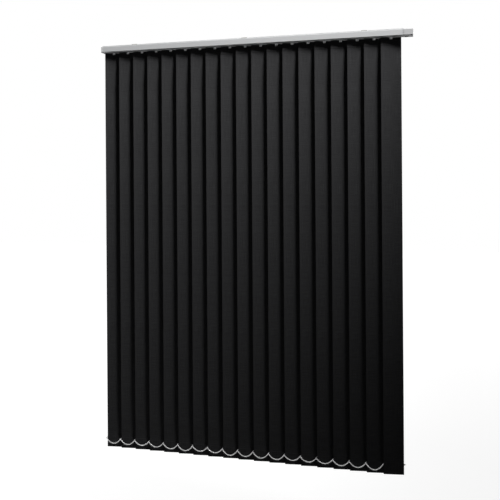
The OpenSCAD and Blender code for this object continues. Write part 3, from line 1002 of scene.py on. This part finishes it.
@dataclass
class BeadChain:
    """Bead chain along one edge of the vanes: a thread in catenaries, beads on it and a web at each ring."""

    edge: Edge
    axes: dict[str, float]
    palette: Palette
    pin_reach: float = VaneFittings.pin_reach
    pin_z: float = VaneFittings.ring_z
    ring_out: float = VaneFittings.ring_out
    sag: float = 23 * MM
    bead_d: float = 5.8 * MM
    bead_gap: float = 0.13 * MM
    bead_pole: float = 0.35
    bead_rings: int = 6
    bead_sides: int = 9
    thread_r: float = 1.2 * MM
    thread_points: int = 61
    thread_sides: int = 6
    web_half: float = 0.9 * MM
    web_soft: float = 0.5 * MM
    web_in: float = 0.2 * MM
    offset: float = 4.7 * MM
    uneven: float = 0.15
    seed: int = 40
    newton_steps: int = 20
    stacked_share: float = 24 / 74

    def _curve(self, half: float, sag: Array) -> Array:
        """Catenary constants a with a (cosh(half/a) - 1) = sag, by steps of Newton's rule.

        Args:
            half: Half the distance between two pins.
            sag: Sag of each span, shape (spans,).

        Returns:
            The constants, shape (spans,).
        """
        a = half ** 2 / (2 * sag)
        for _ in range(self.newton_steps):
            miss = a * (np.cosh(half / a) - 1) - sag
            slope = np.cosh(half / a) - 1 - half / a * np.sinh(half / a)
            a = a - miss / slope
        return a

    def _along(self, pitch: float, sag: Array, share: Array) -> Array:
        """Points of every span at shares of its length: x = a asinh(s/a), z = sqrt(a^2 + s^2) - a - sag.

        Args:
            pitch: Distance between two pins.
            sag: Sag of each span, shape (spans,).
            share: Shares of a span's length, shape (n,).

        Returns:
            Points from the span's first pin, shape (spans, n, 3).
        """
        half = pitch / 2
        a = self._curve(half, sag)[:, None]
        s = (share[None] - 0.5) * 2 * a * np.sinh(half / a)
        x, z = a * np.arcsinh(s / a) + half, np.sqrt(a * a + s * s) - a - sag[:, None]
        return np.stack([x, 0 * x, z], axis=-1)

    def _counts(self, pitch: float, sag: Array) -> Array:
        """How many bead steps fit on each span: its length 2 a sinh(half/a) over one step, rounded down."""
        a = self._curve(pitch / 2, sag)
        return (2 * a * np.sinh(pitch / 2 / a) // (self.bead_d + self.bead_gap)).astype(int)

    def _beads(self, centres: Array) -> Surface:
        """Round beads: the same small sphere (sin b cos a, sin b sin a, cos b) at every centre.

        Args:
            centres: Middle of each bead, shape (n, 3).

        Returns:
            All beads as one surface.
        """
        b = np.linspace(self.bead_pole, np.pi - self.bead_pole, self.bead_rings)
        ball = revolve(np.stack([np.sin(b), np.cos(b)], axis=1) * self.bead_d / 2, self.bead_sides)
        return joined(ball.moved(0, centre) for centre in centres)

    def _thread(self, path: Array) -> Surface:
        """Tube round a path in X and Z: centre + r (cos b n + sin b y) with n across the path.

        Args:
            path: Points of the tube's middle line, shape (n, 3).

        Returns:
            The closed surface.
        """
        along = np.gradient(path, axis=0)
        along /= np.linalg.norm(along, axis=1, keepdims=True)
        across = np.stack([-along[:, 2], 0 * along[:, 0], along[:, 0]], axis=1)
        b = np.linspace(0, 2 * np.pi, self.thread_sides, endpoint=False)[None, :, None]
        ring = np.cos(b) * across[:, None] + np.sin(b) * np.array([0, 1.0, 0])
        return loft(path[:, None] + self.thread_r * ring)

    def _web(self) -> Surface:
        """Short bar with soft corners from a ring on its pin to the first bead.

        Returns:
            The closed surface.
        """
        w, ends = self.web_half, (self.web_in - self.ring_out, -self.offset)
        section = rounded(np.array([[-w, -w], [w, -w], [w, w], [-w, w]]), self.web_soft, steps=3)
        return loft(np.stack([np.insert(section, 1, y, axis=1) for y in ends]))

    def build(self) -> None:
        """Makes the chain and puts it on its body."""
        xs = np.array([x for _, x in sorted(self.axes.items())])
        pitch = float(np.diff(xs).mean())
        sign = self.edge.value
        reach = sign * self.pin_reach
        pin = np.array([reach * math.cos(CLOSED), reach * math.sin(CLOSED), self.pin_z])
        rng = np.random.default_rng(self.seed + sign)
        sag = self.sag * (1 + self.uneven * rng.uniform(-1, 1, len(xs) - 1))
        starts = pin + np.stack([xs, 0 * xs, 0 * xs], axis=1)
        plane = np.array([0, sign * self.offset, 0])
        first = (starts[:-1] + plane)[:, None]
        runs = [
            first[k] + self._along(pitch, sag[k:k + 1], np.arange(n) / n)[0]
            for k, n in enumerate(self._counts(pitch, sag))]
        centres = np.concatenate([*runs, starts[-1:] + plane])
        share = np.linspace(0, 1, self.thread_points)
        threads = [self._thread(run) for run in first + self._along(pitch, sag, share)]
        turn = 0.0 if self.edge is Edge.FRONT else math.pi
        webs = [self._web().moved(turn, start) for start in starts]
        body = f"{self.edge.name.lower()}_chain"
        chain = joined([self._beads(centres), *threads, *webs])
        made = piece(f"{body}_beads", chain, self.palette.of[Slot.CHAIN], sharp=40)
        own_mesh(made)
        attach(made, body)
        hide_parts(body)
        log.info("%s: %d beads", body, len(centres))


@dataclass
class ScrewPair:
    """Two pan head screws with cross recesses that hold an end piece to the rail."""

    node: str
    outward: float
    palette: Palette
    head_r: float = 2.6 * MM
    head_h: float = 1.6 * MM
    crown: float = 0.45 * MM
    shank_r: float = 1.35 * MM
    recess: float = 1.0 * MM
    arm_half: float = 0.4 * MM
    arm_reach: float = 1.45 * MM
    soft: float = 0.15 * MM
    rim: float = 0.25 * MM
    tip_share: float = 0.3
    head_span: Span = (0.02, 0.94)
    head_rings: int = 18
    sides: int = 48

    def _within(self, across: Array, half: float) -> Array:
        """1 where |across| is less than half and 0 outside, with a soft flank between."""
        return np.clip((half - np.abs(across)) / self.soft + 0.5, 0, 1)

    def _screw(self, length: float) -> Surface:
        """One screw on +Z, as rings of radius r about its axis.

        On the head the height is h - c (r/R)^2 - d m(u, v), where m is 1 inside either bar of the cross;
        the rings then go round the rim, in to the shank and along it to a blunt point.

        Args:
            length: Length of the shank.

        Returns:
            The closed surface.
        """
        angle = np.linspace(0, 2 * np.pi, self.sides, endpoint=False)
        radius = np.linspace(*self.head_span, self.head_rings)[:, None] * self.head_r
        u, v = radius * np.cos(angle), radius * np.sin(angle)
        bars = [
            self._within(a, self.arm_reach) * self._within(b, self.arm_half) for a, b in ((u, v), (v, u))]
        top = self.head_h - self.crown * (radius / self.head_r) ** 2 - self.recess * np.maximum(*bars)
        side = np.array([
            [self.head_r, self.head_h - self.crown - self.rim], [self.head_r, 0.0], [self.shank_r, 0.0],
            [self.shank_r, self.shank_r - length], [self.tip_share * self.shank_r, -length]])
        lower = np.stack([
            side[:, :1] * np.cos(angle), side[:, :1] * np.sin(angle), side[:, 1:] + 0 * angle], axis=-1)
        return loft(np.concatenate([np.stack([u, v, top], axis=-1), lower]))

    def build(self) -> None:
        """Makes the pair where the plain screws are and puts it in their place."""
        low, high = (np.array(corner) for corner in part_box(self.node))
        length = float(high[0] - low[0]) - self.head_h
        plane = (high[0] if self.outward > 0 else low[0]) - self.outward * self.head_h
        screw = self._screw(length)
        pair = []
        for side in (-1, 1):
            centre = np.array([plane, side * (high[1] - self.head_r), (low[2] + high[2]) / 2])
            laid = screw.points[:, [2, 0, 1]] * np.array([self.outward, 1, 1]) + centre
            pair.append(Surface.of(laid, screw.faces))
        made = piece(f"{self.node}_cross", joined(pair), self.palette.of[Slot.SCREW], sharp=30)
        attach(made, "rail")
        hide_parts(self.node)
        log.info("%s: %.1f mm long", self.node, length / MM)


@dataclass(frozen=True)
class SoftBox:
    """A soft lamp that shines along -Z of its own frame, in a beam with the spread as its angle."""

    name: str
    place: Triple
    aim: Triple
    power: float
    size: Span
    spread: float = math.pi

    def build(self) -> None:
        """Hangs the lamp in its place and turns it to its aim."""
        data = bpy.data.lights.new(self.name, "AREA")
        data.shape = "RECTANGLE"
        data.energy = self.power
        data.size, data.size_y = self.size
        data.spread = self.spread
        made = bpy.data.objects.new(self.name, data)
        made.location = self.place
        made.rotation_mode = "QUATERNION"
        made.rotation_quaternion = (Vector(self.aim) - Vector(self.place)).to_track_quat("-Z", "Y")
        bpy.context.scene.collection.objects.link(made)


@dataclass
class Studio:
    """Camera at the photograph's angle, a high lamp to the right, one on the window side, and a floor."""

    frame_px: float = 500.0
    focal_px: float = 650.0
    sensor: float = 36.0
    place: Triple = (0.7474, -2.9437, -0.6545)
    yaw: float = math.radians(13.9)
    roll: float = math.radians(-0.38)
    axis_row_px: float = 178.2
    key: SoftBox = SoftBox(
        "key", (3.17, -1.24, 2.82), (0.42, 0.44, 1.3), power=88.0, size=(0.94, 0.9),
        spread=math.radians(67.5))
    back: SoftBox = SoftBox("back", (-2.4, 1.3, 0.2), (0.3, 0.0, -0.8), power=60.0, size=(0.8, 0.8))
    fill: float = 0.02
    floor_z: float = -2.3
    floor_half: float = 12.0
    floor_tone: float = 0.3
    floor_rough: float = 0.9
    floor_near: float = 0.84
    floor_fade: Span = (1.5, 5.0)

    def camera(self) -> None:
        """Adds the camera: level, turned by yaw, with its axis above the middle of the frame."""
        data = bpy.data.cameras.new("camera")
        data.sensor_width = self.sensor
        data.lens = self.focal_px / self.frame_px * self.sensor
        data.shift_y = (self.axis_row_px - self.frame_px / 2) / self.frame_px
        made = bpy.data.objects.new("camera", data)
        made.location = self.place
        made.rotation_mode = "QUATERNION"
        level = Euler((math.pi / 2, 0, self.yaw)).to_quaternion()
        made.rotation_quaternion = level @ Euler((0, 0, self.roll)).to_quaternion()
        bpy.context.scene.collection.objects.link(made)
        bpy.context.scene.camera = made

    @staticmethod
    def _seen(tree: Tree) -> Socket:
        """1 on rays from the camera, from gloss and through glass, otherwise 0.

        Args:
            tree: The node tree.

        Returns:
            The output of its last node.
        """
        path = put(tree, "ShaderNodeLightPath").outputs
        shiny = calc(tree, "MAXIMUM", path["Is Glossy Ray"], path["Is Transmission Ray"])
        return calc(tree, "MAXIMUM", path["Is Camera Ray"], shiny)

    def world(self) -> None:
        """Adds the world: white where it is seen, and a faint fill for all other rays."""
        world = bpy.data.worlds.new("studio")
        bpy.context.scene.world = world
        world.use_nodes = True
        tree = world.node_tree
        back = tree.nodes["Background"]
        back.inputs["Color"].default_value = WHITE
        level = remap(tree, self._seen(tree), UNIT, (self.fill, 1.0))
        tree.links.new(level, back.inputs["Strength"])

    def floor(self) -> None:
        """Adds the pale floor, white from afar with the shadow kept near by."""
        pale = bpy.data.materials.new("pale_floor")
        pale.use_nodes = True
        tree = pale.node_tree
        matt = tree.nodes["Principled BSDF"]
        matt.inputs["Base Color"].default_value = rgba((self.floor_tone,) * 3)
        matt.inputs["Roughness"].default_value = self.floor_rough
        spot = put(tree, "ShaderNodeTexCoord").outputs["Object"]
        flat = put(tree, "ShaderNodeVectorMath", {0: spot, 1: (1, 1, 0)}, operation="MULTIPLY").outputs[0]
        reach = put(tree, "ShaderNodeVectorMath", {0: flat}, operation="LENGTH").outputs["Value"]
        level = remap(tree, reach, self.floor_fade, (self.floor_near, 1.0))
        shown = calc(tree, "MULTIPLY", self._seen(tree), level)
        glow = put(tree, "ShaderNodeEmission", {"Color": WHITE, "Strength": shown})
        both = put(tree, "ShaderNodeAddShader", {0: matt.outputs[0], 1: glow.outputs[0]})
        tree.links.new(both.outputs[0], tree.nodes["Material Output"].inputs["Surface"])
        side = np.array([[-1, -1], [1, -1], [1, 1], [-1, 1]]) * self.floor_half
        ground = Surface(np.insert(side, 2, self.floor_z, axis=1), [[0, 1, 2, 3]], np.zeros((4, 2)))
        piece("floor", ground, pale)

    def build(self) -> None:
        """Sets the stage and the plain view transform."""
        self.camera()
        self.key.build()
        self.back.build()
        self.world()
        self.floor()
        bpy.context.scene.view_settings.view_transform = "Standard"


def main() -> None:
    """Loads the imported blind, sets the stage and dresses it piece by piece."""
    logging.basicConfig(level=logging.INFO, format="%(name)s %(message)s")
    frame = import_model()
    Studio().build()
    palette = Palette(Effects())
    log.info("CAD nodes dressed: %d", palette.dress_frame(frame))
    joints = frame["record"]["behaviour"]["joints"]
    axes = {j["child"]: j["pos_m"][0] for j in joints if j["child"].startswith("vane_")}
    VaneRow(axes, palette).build()
    for edge in Edge:
        BeadChain(edge, axes, palette).build()
    for node, outward in (("end_screws", -1.0), ("cover_screws", 1.0)):
        ScrewPair(node, outward, palette).build()


if __name__ == "__main__":
    main()
